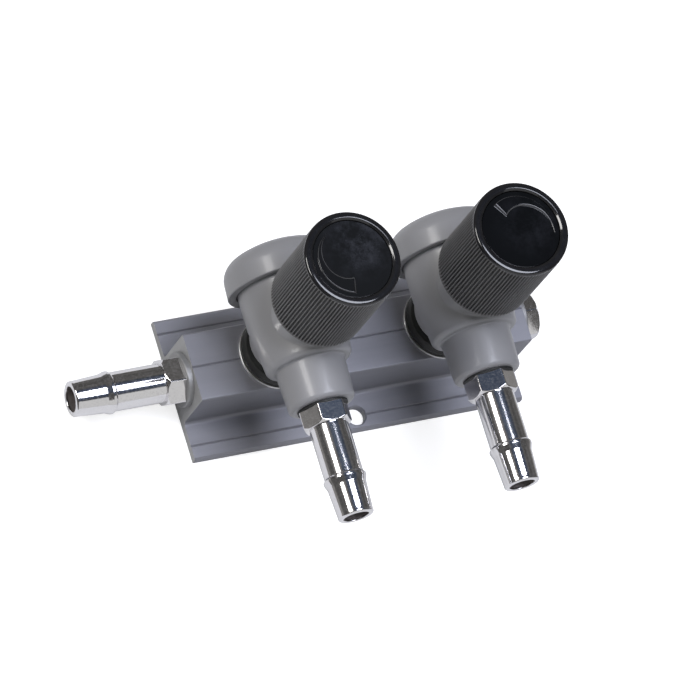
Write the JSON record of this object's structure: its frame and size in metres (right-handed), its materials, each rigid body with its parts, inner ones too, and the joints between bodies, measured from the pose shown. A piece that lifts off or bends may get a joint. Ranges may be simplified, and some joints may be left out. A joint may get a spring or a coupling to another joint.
{
  "type": "aquarium air gang valve",
  "caption": "Short aluminium rail with flanges, carrying grey needle valves with ribbed black knobs, hose barbs in front, a barb feeding its left end and a hex plug in its right end.",
  "frame": {"origin": "middle of the rail's back face, between the valves", "axes": "+X along the rail towards the plugged end, +Z out of the back face towards the knobs, -Y the way the outlets point"},
  "size_m": [0.1061, 0.0611, 0.0679],
  "materials": {
    "rail_aluminium": "satin",
    "valve_plastic": "semi-gloss grey",
    "fitting_chrome": "polished",
    "washer_steel": "bright",
    "seal_rubber": "matte black",
    "knob_plastic": "satin black",
    "disc_plastic": "glossy black",
    "stem_steel": "turned",
    "seat_brass": "turned"
  },
  "bodies": {
    "gang": {"manifold": "rail_aluminium", "inlet_barb": "fitting_chrome", "inlet_seal": "washer_steel", "end_plug": "fitting_chrome", "end_plug_seal": "washer_steel", "valve_body_left": "valve_plastic", "port_washer_left": "washer_steel", "port_seal_left": "seal_rubber", "end_cap_left": "valve_plastic", "cap_seal_left": "seal_rubber", "bonnet_left": "valve_plastic", "outlet_barb_left": "fitting_chrome", "outlet_seal_left": "seal_rubber", "valve_seat_left": "seat_brass", "valve_body_right": "valve_plastic", "port_washer_right": "washer_steel", "port_seal_right": "seal_rubber", "end_cap_right": "valve_plastic", "cap_seal_right": "seal_rubber", "bonnet_right": "valve_plastic", "outlet_barb_right": "fitting_chrome", "outlet_seal_right": "seal_rubber", "valve_seat_right": "seat_brass"},
    "ring_left": {"stem_ring_left": "seal_rubber"},
    "spindle_left": {"needle_stem_left": "stem_steel", "knob_left": "knob_plastic", "knob_cap_left": "disc_plastic", "knob_screw_left": "stem_steel"},
    "ring_right": {"stem_ring_right": "seal_rubber"},
    "spindle_right": {"needle_stem_right": "stem_steel", "knob_right": "knob_plastic", "knob_cap_right": "disc_plastic", "knob_screw_right": "stem_steel"}
  },
  "joints": [
    {"name": "lift_left", "type": "slide", "parent": "gang", "child": "ring_left", "axis": [0, 0, 1], "range_m": [0, 0.0016]},
    {"name": "turn_left", "type": "hinge", "parent": "ring_left", "child": "spindle_left", "pos_m": [-0.01895, 0, 0.05], "axis": [0, 0, 1], "range_deg": [0, 720]},
    {"name": "lift_right", "type": "slide", "parent": "gang", "child": "ring_right", "axis": [0, 0, 1], "range_m": [0, 0.0016]},
    {"name": "turn_right", "type": "hinge", "parent": "ring_right", "child": "spindle_right", "pos_m": [0.01895, 0, 0.05], "axis": [0, 0, 1], "range_deg": [0, 720]}
  ],
  "couplings": [
    {"joint": "turn_left", "follows": "lift_left", "rad_per_m": 7854},
    {"joint": "turn_right", "follows": "lift_right", "rad_per_m": 7854}
  ]
}
